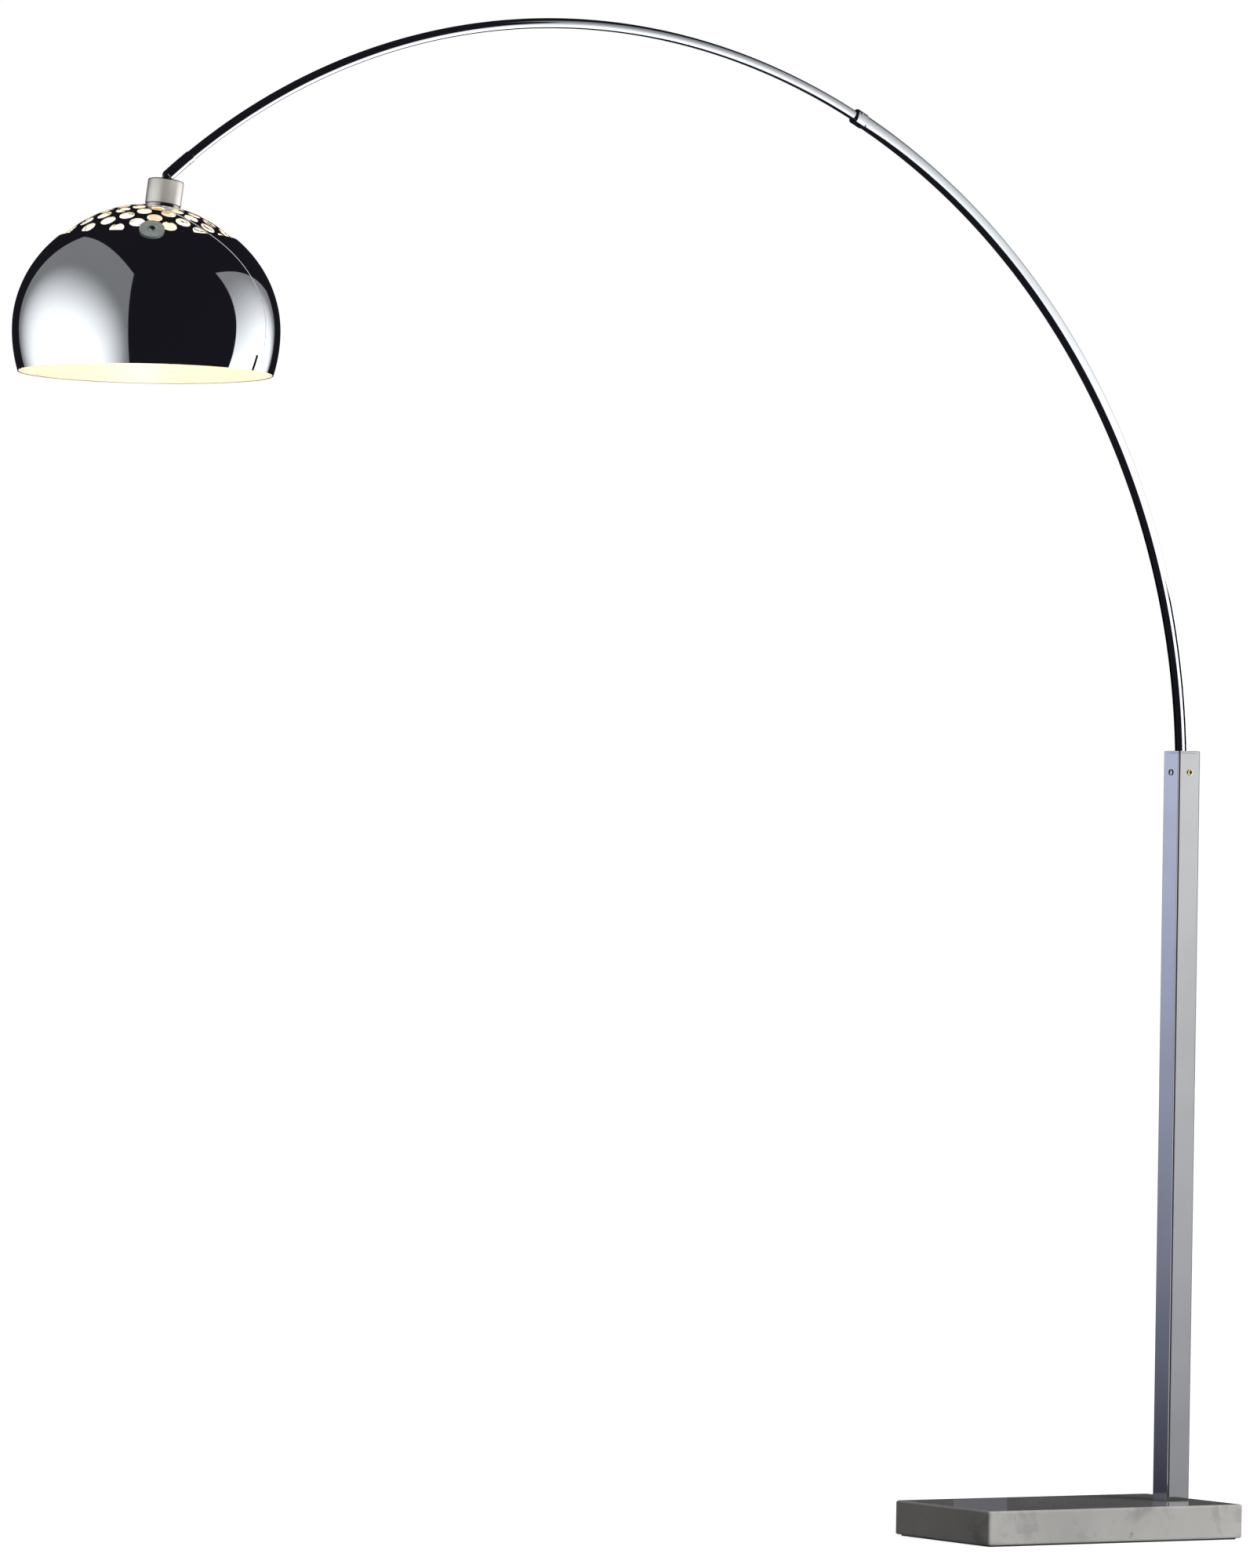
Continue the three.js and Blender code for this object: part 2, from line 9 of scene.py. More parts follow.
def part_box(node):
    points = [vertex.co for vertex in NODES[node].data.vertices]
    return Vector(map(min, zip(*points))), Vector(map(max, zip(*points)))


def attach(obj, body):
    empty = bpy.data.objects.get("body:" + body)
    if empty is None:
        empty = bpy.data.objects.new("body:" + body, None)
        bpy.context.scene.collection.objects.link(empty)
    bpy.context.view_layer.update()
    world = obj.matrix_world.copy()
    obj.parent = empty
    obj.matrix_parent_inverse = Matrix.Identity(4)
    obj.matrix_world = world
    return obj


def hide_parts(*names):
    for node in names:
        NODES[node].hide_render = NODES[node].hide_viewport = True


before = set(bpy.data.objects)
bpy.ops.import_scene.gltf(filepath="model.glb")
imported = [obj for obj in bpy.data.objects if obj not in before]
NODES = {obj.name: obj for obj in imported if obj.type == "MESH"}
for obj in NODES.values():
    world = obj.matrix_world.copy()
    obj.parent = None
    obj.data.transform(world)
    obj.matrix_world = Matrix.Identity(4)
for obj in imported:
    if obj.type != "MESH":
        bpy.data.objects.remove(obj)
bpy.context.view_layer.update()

# ---------------------------------------------------------------- sizes, as in the design
MM = 0.001
SLAB_LOW, SLAB_HIGH = (Vector(corner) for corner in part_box("marble_slab"))
POLE_LOW, POLE_HIGH = (Vector(corner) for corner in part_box("pole_tube"))
PLAY = 0.3 * MM
PINHOLE = 0.05 * MM
SLAB = {"edge": 3 * MM, "corner": 4 * MM, "recess": 30 * MM, "depth": 16 * MM, "hole": 7 * MM}
POLE = {"wall": 1.5 * MM, "corner": 3 * MM, "bore": 11.1 * MM}

ARC_RADIUS = 1022 * MM
ARC_HEIGHT = 1103 * MM
LOWER = {"radius": 10 * MM, "bore": 8.5 * MM, "straight": 40 * MM, "end": 64.6}
UPPER = {"radius": 7.1 * MM, "bore": 5.9 * MM, "start": 50.0, "end": 131.15}
SLEEVE = {"radius": 8.15 * MM, "start": 129.1, "end": 131.75}
FERRULE = {"radius": 11.2 * MM, "length": 12 * MM, "overlap": 6 * MM}

SHADE = {"across": 180 * MM, "up": 166 * MM, "down": 190 * MM, "wall": 1.5 * MM}
SHADE_RIM = -58 * MM
SHADE_OPENING = 120.5 * MM
SHADE_CENTRE = Vector((-1729.4 * MM, 0, 1657 * MM))
CAP_RISE = 3 * MM
CAP_CENTRE = SHADE_CENTRE + Vector((0, 0, CAP_RISE))
CAP_TILT = 7.4
CAP = {"radius": 166.4 * MM, "wall": 1.5 * MM, "skirt": 57.0, "hole": 5.3 * MM}
HOLE_ROWS = [  # (degrees from the cap's axis, radius in mm, shift round in hole spacings)
    (17.4, 6.5, 0), (23.7, 9, 0.5), (29.8, 10, 0), (36.3, 10.3, 0.5), (41.9, 10.3, 0), (47.7, 10.3, 0.5),
]
HOLES_PER_ROW = 16
HOLES_TURN = -111.3
NECK = {"radius": 24.3 * MM, "wall": 2.2 * MM, "bottom": 168.7 * MM, "top": 202 * MM, "floor": 3 * MM}
SLOT = (31 * MM, 19.6 * MM)
FLANGE = {"radius": 23.4 * MM, "top": 168.4 * MM}
BULB = {"radius": 30 * MM, "bottom": 36 * MM, "neck": 12.4 * MM, "seat": 108 * MM}
HEAD = Matrix.Translation(CAP_CENTRE) @ Matrix.Rotation(math.radians(CAP_TILT), 4, "Y")


# ---------------------------------------------------------------- material helpers
class Nodes:
    """A new node material: add nodes and link sockets by name."""

    def __init__(self, name):
        self.material = bpy.data.materials.new(name)
        self.material.use_nodes = True
        self.tree = self.material.node_tree
        self.shader = self.tree.nodes["Principled BSDF"]
        self.coords = self.tree.nodes.new("ShaderNodeTexCoord").outputs["Object"]

    def set(self, **values):
        for name, value in values.items():
            self.shader.inputs[name.replace("_", " ")].default_value = value
        return self

    def new(self, kind, **values):
        node = self.tree.nodes.new(kind)
        for name, value in values.items():
            if hasattr(node, name):
                setattr(node, name, value)
            else:
                node.inputs[name.replace("_", " ")].default_value = value
        return node

    def link(self, source, target):
        self.tree.links.new(source, target)

    def noise(self, scale, detail=4.0, roughness=0.5, distortion=0.0, coords=None, stretch=None):
        node = self.new("ShaderNodeTexNoise", Scale=scale, Detail=detail, Roughness=roughness)
        node.inputs["Distortion"].default_value = distortion
        source = coords or self.coords
        if stretch:
            mapping = self.new("ShaderNodeMapping")
            mapping.inputs["Scale"].default_value = stretch
            self.link(source, mapping.inputs["Vector"])
            source = mapping.outputs["Vector"]
        self.link(source, node.inputs["Vector"])
        return node.outputs["Fac"]

    def ramp(self, source, stops):
        node = self.new("ShaderNodeValToRGB")
        elements = node.color_ramp.elements
        for index, (place, colour) in enumerate(stops):
            element = elements[index] if index < 2 else elements.new(place)
            element.position = place
            element.color = (*colour, 1.0)
        self.link(source, node.inputs["Fac"])
        return node.outputs["Color"]

    def span(self, source, low, high, start=0.0, stop=1.0):
        node = self.new("ShaderNodeMapRange")
        for name, value in (("From Min", start), ("From Max", stop), ("To Min", low), ("To Max", high)):
            node.inputs[name].default_value = value
        self.link(source, node.inputs["Value"])
        return node.outputs["Result"]

    def mix(self, factor, first, second):
        node = self.new("ShaderNodeMix", data_type="RGBA")
        for socket, value in (("Factor", factor), ("A", first), ("B", second)):
            kind = "VALUE" if socket == "Factor" else "RGBA"
            target = next(s for s in node.inputs if s.name == socket and s.type == kind)
            if isinstance(value, bpy.types.NodeSocket):
                self.link(value, target)
            else:
                target.default_value = value if socket == "Factor" else (*value, 1.0)
        return next(s for s in node.outputs if s.type == "RGBA")

    def bump(self, source, strength, distance):
        node = self.new("ShaderNodeBump", Strength=strength, Distance=distance)
        self.link(source, node.inputs["Height"])
        self.link(node.outputs["Normal"], self.shader.inputs["Normal"])

    def colour(self, source):
        self.link(source, self.shader.inputs["Base Color"])

    def rough(self, source):
        self.link(source, self.shader.inputs["Roughness"])


def grey(value):
    return (value, value, value)


def chrome(name, tint=(0.80, 0.81, 0.83), rough=(0.035, 0.09)):
    """Mirror chrome: faint clouding in the polish and very fine rub marks."""
    n = Nodes(name).set(Metallic=1.0)
    cloud = n.noise(9.0, 3.0)
    fine = n.noise(220.0, 6.0, 0.65)
    dark = tuple(0.93 * c for c in tint)
    n.colour(n.mix(n.span(cloud, 0.0, 1.0, 0.35, 0.65), dark, tint))
    n.rough(n.span(fine, rough[0], rough[1], 0.3, 0.75))
    return n.material


def brushed(name, tint, rough=(0.25, 0.42), grain=(40.0, 40.0, 900.0), strength=0.12):
    """Satin metal with a fine directional grain."""
    n = Nodes(name).set(Metallic=1.0)
    grains = n.noise(1.0, 5.0, 0.6, stretch=grain)
    cloud = n.noise(25.0, 3.0)
    n.colour(n.mix(n.span(cloud, 0.0, 1.0, 0.3, 0.7), tuple(0.86 * c for c in tint), tint))
    n.rough(n.span(grains, rough[0], rough[1], 0.3, 0.7))
    n.bump(grains, strength, 0.2 * MM)
    return n.material


def moulded(name, tint, rough=(0.45, 0.65), speckle=0.15):
    """Plain moulded plastic, nylon, rubber or ceramic: fine pits and slight colour drift."""
    n = Nodes(name)
    pits = n.noise(900.0, 3.0)
    drift = n.noise(30.0, 2.0)
    n.colour(n.mix(n.span(drift, 0.0, 1.0, 0.3, 0.7), tuple((1 - speckle) * c for c in tint), tint))
    n.rough(n.span(pits, rough[0], rough[1], 0.3, 0.7))
    n.bump(pits, 0.15, 0.1 * MM)
    return n.material


def marble():
    """Warm grey marble: cloudy ground, soft darker blotches, a few drifting veins and flecks, polished."""
    n = Nodes("marble").set(Coat_Weight=0.6, Coat_Roughness=0.04)
    ground = n.noise(5.0, 5.0, 0.55, 0.3)
    base = n.ramp(ground, [
        (0.30, (0.50, 0.49, 0.475)),
        (0.50, (0.60, 0.59, 0.57)),
        (0.70, (0.68, 0.67, 0.645)),
    ])
    blotch = n.span(n.noise(13.0, 6.0, 0.6, 0.6), 0.0, 0.75, 0.55, 0.70)
    clouded = n.mix(blotch, base, (0.34, 0.335, 0.33))
    warp = n.noise(2.6, 4.0, 0.55)
    shifted = n.new("ShaderNodeVectorMath", operation="MULTIPLY_ADD")
    n.link(warp, shifted.inputs[0])
    shifted.inputs[1].default_value = (0.20, 0.16, 0.18)
    n.link(n.coords, shifted.inputs[2])
    vein_noise = n.noise(4.0, 6.0, 0.6, 0.3, coords=shifted.outputs["Vector"])
    away = n.new("ShaderNodeMath", operation="SUBTRACT")
    n.link(vein_noise, away.inputs[0])
    away.inputs[1].default_value = 0.5
    distance = n.new("ShaderNodeMath", operation="ABSOLUTE")
    n.link(away.outputs[0], distance.inputs[0])
    vein = n.span(distance.outputs[0], 0.45, 0.0, 0.0, 0.03)
    where = n.span(n.noise(3.0, 2.0, coords=shifted.outputs["Vector"]), 0.0, 1.0, 0.50, 0.64)
    strength = n.new("ShaderNodeMath", operation="MULTIPLY")
    n.link(vein, strength.inputs[0])
    n.link(where, strength.inputs[1])
    veined = n.mix(strength.outputs[0], clouded, (0.36, 0.355, 0.35))
    flecks = n.span(n.noise(60.0, 2.0, 0.5, 0.2), 0.0, 0.7, 0.68, 0.75)
    n.colour(n.mix(flecks, veined, (0.33, 0.325, 0.32)))
    n.rough(n.span(n.noise(160.0, 4.0), 0.10, 0.20, 0.3, 0.7))
    n.bump(n.noise(300.0, 3.0), 0.03, 0.1 * MM)
    return n.material


def pearl():
    """The neck's pearly satin coating over metal, with a fine orange peel under a clear coat."""
    n = Nodes("pearl_satin").set(Metallic=0.45, Coat_Weight=0.4, Coat_Roughness=0.12)
    cloud = n.noise(30.0, 3.0)
    n.colour(n.mix(n.span(cloud, 0.0, 1.0, 0.3, 0.7), (0.93, 0.88, 0.80), (0.97, 0.93, 0.86)))
    n.rough(n.span(n.noise(700.0, 3.0), 0.28, 0.36, 0.3, 0.7))
    n.bump(n.noise(900.0, 2.0), 0.05, 0.05 * MM)
    return n.material


def felt():
    """Dense black felt with loose fibres."""
    n = Nodes("felt").set(Sheen_Weight=0.5)
    fibres = n.noise(1400.0, 5.0, 0.7)
    n.colour(n.mix(fibres, (0.02, 0.02, 0.022), (0.075, 0.075, 0.08)))
    n.rough(n.span(fibres, 0.85, 1.0))
    n.bump(fibres, 0.5, 0.3 * MM)
    return n.material


def inside_white():
    """The dome's white enamelled lining: warm, slightly uneven, softly glossy."""
    n = Nodes("white_lining").set(Coat_Weight=0.25, Coat_Roughness=0.2)
    drift = n.noise(12.0, 3.0)
    n.colour(n.mix(n.span(drift, 0.0, 1.0, 0.3, 0.7), (0.92, 0.905, 0.87), (0.96, 0.95, 0.92)))
    n.rough(n.span(n.noise(500.0, 4.0), 0.30, 0.45, 0.3, 0.7))
    n.bump(n.noise(700.0, 3.0), 0.08, 0.1 * MM)
    return n.material


def clear_plastic():
    """The edge clips' grey-green, half clear plastic, slightly cloudy."""
    n = Nodes("clip_plastic").set(Transmission_Weight=0.35, IOR=1.46)
    drift = n.noise(90.0, 3.0)
    n.colour(n.mix(n.span(drift, 0.0, 1.0, 0.3, 0.7), (0.36, 0.41, 0.39), (0.50, 0.55, 0.52)))
    n.rough(n.span(n.noise(800.0, 3.0), 0.22, 0.36, 0.3, 0.7))
    return n.material


def lit_glass():
    """A frosted bulb that is on: warm white, a little dimmer towards its neck."""
    n = Nodes("lit_glass").set(Roughness=0.4, Emission_Strength=22.0)
    place = n.new("ShaderNodeSeparateXYZ")
    n.link(n.coords, place.inputs["Vector"])
    neck, globe = CAP_CENTRE.z + 109 * MM, CAP_CENTRE.z + 34 * MM
    height = n.span(place.outputs["Z"], 0.0, 1.0, neck, globe)
    frost = n.noise(400.0, 3.0)
    warm = n.mix(height, (1.0, 0.75, 0.47), (1.0, 0.86, 0.66))
    n.colour(n.mix(n.span(frost, 0.0, 0.3), warm, (1.0, 0.95, 0.88)))
    n.link(warm, n.shader.inputs["Emission Color"])
    return n.material


CHROME = chrome("chrome")
CHROME_DOME = chrome("dome_chrome", rough=(0.02, 0.055))
PEARL = pearl()
DARK_STEEL = brushed("dark_steel", (0.17, 0.165, 0.16), (0.30, 0.45))
STEEL = brushed("zinc_steel", (0.58, 0.59, 0.61))
BRASS = brushed("plain_brass", (0.72, 0.56, 0.30), (0.18, 0.34))
MARBLE = marble()
FELT = felt()
NYLON = moulded("nylon", (0.035, 0.035, 0.04))
RUBBER = moulded("rubber", (0.025, 0.025, 0.026), (0.6, 0.85))
CERAMIC = moulded("ceramic", (0.86, 0.85, 0.81), (0.15, 0.25), 0.05)
LINING = inside_white()
CLIP = clear_plastic()
LIT = lit_glass()

CAD_LOOKS = {
    "marble_slab": MARBLE, "floor_pad": FELT, "base_washer": STEEL, "base_bolt": STEEL,
    "pole_foot_plug": STEEL, "pole_tube": CHROME, "arm_bush": NYLON, "pole_top_cap": CHROME,
    "clamp_screw_front": BRASS, "clamp_screw_left": STEEL, "cable_grommet": RUBBER, "pole_lead": RUBBER,
    "lower_arm_tube": CHROME, "arm_ferrule": CHROME, "ferrule_screw": STEEL,
    "upper_arm_tube": CHROME, "guide_plug": NYLON, "tip_sleeve": CHROME, "arm_lead": RUBBER,
    "knuckle": DARK_STEEL, "neck_cup": PEARL, "neck_flange": CHROME,
    "pivot_fork": STEEL, "pivot_pin": STEEL,
    "threaded_nipple": BRASS, "perforated_cap": CHROME_DOME, "socket_nut": BRASS, "lamp_socket": CERAMIC,
    "centre_contact": BRASS, "bulb_screw_base": STEEL, "bulb_glass": LIT, "reflector": CHROME_DOME,
}
for index in (1, 2, 3):
    CAD_LOOKS[f"edge_clip_{index}"] = CLIP
    CAD_LOOKS[f"clip_screw_{index}"] = STEEL
for name, look in CAD_LOOKS.items():
    for slot_holder in NODES[name].material_slots:
        slot_holder.material = look


def smooth_shading():
    """Joins doubled corners, then shades smoothly across every edge flatter than 35 degrees."""
    group = bpy.data.node_groups.new("smooth_shading", "GeometryNodeTree")
    group.interface.new_socket("Geometry", in_out="INPUT", socket_type="NodeSocketGeometry")
    group.interface.new_socket("Geometry", in_out="OUTPUT", socket_type="NodeSocketGeometry")
    start, end = group.nodes.new("NodeGroupInput"), group.nodes.new("NodeGroupOutput")
    merge = group.nodes.new("GeometryNodeMergeByDistance")
    merge.inputs["Distance"].default_value = 0.01 * MM
    plain = group.nodes.new("GeometryNodeRemoveAttribute")
    plain.inputs["Name"].default_value = "custom_normal"
    faces = group.nodes.new("GeometryNodeSetShadeSmooth")
    edges = group.nodes.new("GeometryNodeSetShadeSmooth")
    edges.domain = "EDGE"
    flatter = group.nodes.new("FunctionNodeCompare")
    flatter.operation = "LESS_THAN"
    flatter.inputs["B"].default_value = math.radians(35)
    angle = group.nodes.new("GeometryNodeInputMeshEdgeAngle")
    group.links.new(angle.outputs["Unsigned Angle"], flatter.inputs["A"])
    group.links.new(flatter.outputs["Result"], edges.inputs["Shade Smooth"])
    for first, second in ((start, merge), (merge, plain), (plain, faces), (faces, edges), (edges, end)):
        group.links.new(first.outputs["Geometry"], second.inputs["Geometry"])
    return group


SHADING = smooth_shading()
for name in CAD_LOOKS:
    NODES[name].modifiers.new("smooth_shading", "NODES").node_group = SHADING


# ---------------------------------------------------------------- mesh helpers
def piece_from(bm, name, looks, smooth=True):
    """A new object from a bmesh, with its materials."""
    mesh = bpy.data.meshes.new(name)
    bmesh.ops.recalc_face_normals(bm, faces=bm.faces)
    bm.to_mesh(mesh)
    bm.free()
    for look in looks:
        mesh.materials.append(look)
    if smooth:
        mesh.polygons.foreach_set("use_smooth", [True] * len(mesh.polygons))
    piece = bpy.data.objects.new(name, mesh)
    bpy.context.scene.collection.objects.link(piece)
    return piece


def stand_in(piece, body, slot, *nodes):
    """Joins a finished piece to its body and hides the CAD nodes it shows in their stead. slot is not used.
    """
    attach(piece, body)
    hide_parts(*nodes)


def crease(piece, degrees=30.0):
    """Keeps edges sharper than an angle crisp and the rest smooth."""
    piece.data.set_sharp_from_angle(angle=math.radians(degrees))


def on_arc(angle):
    """A point on the arm's circle, at an angle in degrees up from the pole side."""
    turn = math.radians(angle)
    return Vector((ARC_RADIUS * math.cos(turn) - ARC_RADIUS, 0, ARC_HEIGHT + ARC_RADIUS * math.sin(turn)))


def arc_stations(start, end, straight=0.0, step=0.5):
    """Centres with the outward direction along the arm's circle, from a straight foot if any."""
    stations = []
    if straight:
        count = 4
        for i in range(count):
            stations.append((Vector((0, 0, ARC_HEIGHT - straight * (1 - i / count))), Vector((1, 0, 0))))
    count = max(1, round((end - start) / step))
    for i in range(count + 1):
        angle = start + (end - start) * i / count
        turn = math.radians(angle)
        stations.append((on_arc(angle), Vector((math.cos(turn), 0, math.sin(turn)))))
    return stations


def skin(bm, rings, closed=False, material=0):
    """Quads between successive rings of vertices."""
    pairs = list(zip(rings, rings[1:])) + ([(rings[-1], rings[0])] if closed else [])
    count = len(rings[0])
    for first, second in pairs:
        for i in range(count):
            j = (i + 1) % count
            face = bm.faces.new((first[i], first[j], second[j], second[i]))
            face.material_index = material


def station_ring(bm, centre, out, radius, count):
    """A ring of vertices across the arm."""
    side = Vector((0, 1, 0))
    return [
        bm.verts.new(centre + radius * (math.cos(a) * out + math.sin(a) * side))
        for a in (2 * math.pi * i / count for i in range(count))
    ]


def arm_tube(name, look, stations, profile, count=48):
    """A tube along the arm. The profile is a closed loop of (station, shift along, radius)."""
    bm = bmesh.new()
    rings = []
    for station, along, radius in profile:
        centre, out = stations[station]
        ahead = Vector((-out.z, 0, out.x))
        rings.append(station_ring(bm, centre + along * ahead, out, radius, count))
    skin(bm, rings, closed=True)
    piece = piece_from(bm, name, [look])
    crease(piece)
    return piece


def tube_profile(stations, radius, bore, rounding):
    """Outer wall, rounded end lips and the bore of a tube over all its stations."""
    last = len(stations) - 1
    outer = [(0, rounding, radius)]
    outer += [(i, 0.0, radius) for i in range(1, last)]
    outer += [(last, -rounding, radius), (last, -0.3 * rounding, radius - 0.3 * rounding)]
    outer += [(last, 0.0, radius - rounding)]
    inner = [(i, 0.0, bore) for i in range(last, -1, -1)]
    return outer + inner + [(0, 0.0, radius - rounding), (0, 0.3 * rounding, radius - 0.3 * rounding)]


def turned(name, looks, profile, transform, count=96, materials=None):
    """A closed body of revolution about a frame's Z, from (radius, height) points in a loop."""
    bm = bmesh.new()
    rings = []
    for radius, height in profile:
        rings.append([
            bm.verts.new(transform @ Vector((radius * math.cos(a), radius * math.sin(a), height)))
            for a in (2 * math.pi * i / count for i in range(count))
        ])
    for index, ring in enumerate(rings):
        material = materials[index] if materials else 0
        skin(bm, [ring, rings[(index + 1) % len(rings)]], material=material)
    piece = piece_from(bm, name, looks)
    crease(piece)
    return piece


# ---------------------------------------------------------------- camera
def make_camera():
    """The viewing angle: from the front left, a little below the shade, slightly rolled."""
    azimuth, pitch, roll = (math.radians(v) for v in (32.05, 1.44, 0.99))
    distance = 10.503
    target = Vector((-0.9538, 0, 1.0697))
    ahead = Vector((
        math.sin(azimuth) * math.cos(pitch),
        math.cos(azimuth) * math.cos(pitch),
        math.sin(pitch),
    ))
    right = Vector((math.cos(azimuth), -math.sin(azimuth), 0))
    up = right.cross(ahead)
    turned_right = math.cos(roll) * right + math.sin(roll) * up
    turned_up = math.cos(roll) * up - math.sin(roll) * right
    data = bpy.data.cameras.new("camera")
    data.lens = 172.9
    data.sensor_width = 36.0
    data.clip_end = 100.0
    camera = bpy.data.objects.new("camera", data)
    axes = Matrix((turned_right, turned_up, -ahead)).transposed().to_4x4()
    camera.matrix_world = Matrix.Translation(target - distance * ahead) @ axes
    bpy.context.scene.collection.objects.link(camera)
    bpy.context.scene.camera = camera


# ---------------------------------------------------------------- studio
def reflected_panel(name, low, high, base, height, glow, colour=(1, 1, 1)):
    """A vertical soft box that only reflections see, between two floor points, low to high.

    glow is (place along, place up, reach along, reach up, core, edge): its brightness falls
    smoothly from core at that place, given as shares of its size, to edge one reach away.
    """
    first, second = Vector((*low, 0)), Vector((*high, 0))
    along = second - first
    data = bpy.data.lights.new(name, "AREA")
    data.shape = "RECTANGLE"
    data.size, data.size_y = along.length, height
    data.energy = math.pi * data.size * data.size_y
    data.color = colour
    light = bpy.data.objects.new(name, data)
    right, up = along.normalized(), Vector((0, 0, 1))
    axes = Matrix((right, up, right.cross(up))).transposed().to_4x4()
    middle = (first + second) / 2 + Vector((0, 0, base + height / 2))
    light.matrix_world = Matrix.Translation(middle) @ axes
    light.visible_camera = False
    light.visible_diffuse = False
    bpy.context.scene.collection.objects.link(light)

    data.use_nodes = True
    tree = data.node_tree
    geometry = tree.nodes.new("ShaderNodeNewGeometry")
    offset = tree.nodes.new("ShaderNodeVectorMath")
    offset.operation = "SUBTRACT"
    offset.inputs[1].default_value = (glow[0], glow[1], 0)
    scaled = tree.nodes.new("ShaderNodeVectorMath")
    scaled.operation = "DIVIDE"
    scaled.inputs[1].default_value = (glow[2], glow[3], 1)
    away = tree.nodes.new("ShaderNodeVectorMath")
    away.operation = "LENGTH"
    ramp = tree.nodes.new("ShaderNodeMapRange")
    ramp.interpolation_type = "SMOOTHSTEP"
    ramp.inputs["To Min"].default_value = glow[4]
    ramp.inputs["To Max"].default_value = glow[5]
    tree.links.new(geometry.outputs["Parametric"], offset.inputs[0])
    tree.links.new(offset.outputs["Vector"], scaled.inputs[0])
    tree.links.new(scaled.outputs["Vector"], away.inputs[0])
    tree.links.new(away.outputs["Value"], ramp.inputs["Value"])
    tree.links.new(ramp.outputs["Result"], tree.nodes["Emission"].inputs["Strength"])


CARD_FOOT, CARD_HEAD = 0.05, 1.14


def reflected_card(name, centre, facing, width, base, height, low, high):
    """An upright glowing card that only reflections see, and only its front.

    Its colour runs from low at the height CARD_FOOT to high at the height CARD_HEAD.
    """
    facing = Vector((*facing, 0)).normalized()
    side = width / 2 * Vector((0, 0, 1)).cross(facing)
    foot, rise = Vector((*centre, base)), Vector((0, 0, height))
    mesh = bpy.data.meshes.new(name)
    mesh.from_pydata([foot - side, foot + side, foot + side + rise, foot - side + rise], [], [(0, 1, 2, 3)])
    look = Nodes(name).set(Base_Color=(0, 0, 0, 1), Specular_IOR_Level=0.0, Emission_Strength=1.0)
    place = look.new("ShaderNodeSeparateXYZ")
    look.link(look.coords, place.inputs["Vector"])
    share = look.span(place.outputs["Z"], 0.0, 1.0, CARD_FOOT, CARD_HEAD)
    look.link(look.mix(share, low, high), look.shader.inputs["Emission Color"])
    back = look.new("ShaderNodeNewGeometry").outputs["Backfacing"]
    look.link(look.span(back, 1.0, 0.0), look.shader.inputs["Alpha"])
    mesh.materials.append(look.material)
    card = bpy.data.objects.new(name, mesh)
    bpy.context.scene.collection.objects.link(card)
    card.visible_camera = False
    card.visible_diffuse = False
    card.visible_shadow = False
    card.visible_transmission = False


def make_floor():
    """A plain white floor that glows a little of its own, so that it stays pale and shadows stay soft."""
    bm = bmesh.new()
    bm.faces.new([bm.verts.new((x, y, 0)) for x, y in ((-40, -40), (40, -40), (40, 40), (-40, 40))])
    look = Nodes("floor_paint").set(Roughness=0.8, Emission_Strength=0.82)
    look.colour(look.mix(look.noise(2.0, 4.0), grey(0.60), grey(0.62)))
    look.shader.inputs["Emission Color"].default_value = (1, 1, 1, 1)
    floor = piece_from(bm, "studio_floor", [look.material], smooth=False)
    floor.visible_glossy = False
    floor.visible_diffuse = False


def make_world():
    """White to the eye, dim for diffuse light and nearly black in reflections."""
    world = bpy.data.worlds.new("studio")
    world.use_nodes = True
    bpy.context.scene.world = world
    tree = world.node_tree
    paths = tree.nodes.new("ShaderNodeLightPath")
    shades = {"eye": grey(1.0), "diffuse": grey(0.11), "glossy": (0.010, 0.010, 0.014)}
    backs = {}
    for name, shade in shades.items():
        backs[name] = tree.nodes["Background"] if name == "eye" else tree.nodes.new("ShaderNodeBackground")
        backs[name].inputs["Color"].default_value = (*shade, 1)
    unseen = tree.nodes.new("ShaderNodeMixShader")
    seen = tree.nodes.new("ShaderNodeMixShader")
    tree.links.new(paths.outputs["Is Glossy Ray"], unseen.inputs["Fac"])
    tree.links.new(backs["diffuse"].outputs[0], unseen.inputs[1])
    tree.links.new(backs["glossy"].outputs[0], unseen.inputs[2])
    tree.links.new(paths.outputs["Is Camera Ray"], seen.inputs["Fac"])
    tree.links.new(unseen.outputs[0], seen.inputs[1])
    tree.links.new(backs["eye"].outputs[0], seen.inputs[2])
    tree.links.new(seen.outputs[0], tree.nodes["World Output"].inputs["Surface"])


def soft_sun(name, energy, spread, towards):
    """A sun that reflections don't see. towards points at it, and spread is its width in degrees."""
    data = bpy.data.lights.new(name, "SUN")
    data.energy = energy
    data.angle = math.radians(spread)
    light = bpy.data.objects.new(name, data)
    light.rotation_euler = Vector(towards).to_track_quat("Z", "Y").to_euler()
    light.visible_glossy = False
    bpy.context.scene.collection.objects.link(light)


COOL_WHITE = (0.95, 0.98, 1.0)
POLE_PANELS = {  # name: (floor point, floor point, core, edge)
    "pole_right_panel": ((1.2, -0.6), (0.5, 1.5), 0.55, 0.25),
    "pole_near_panel": ((-0.45, -1.4), (0.2, -1.4), 0.12, 0.07),
    "pole_back_panel": ((-1.4, 0.9), (-1.5, -0.7), 0.55, 0.25),
}


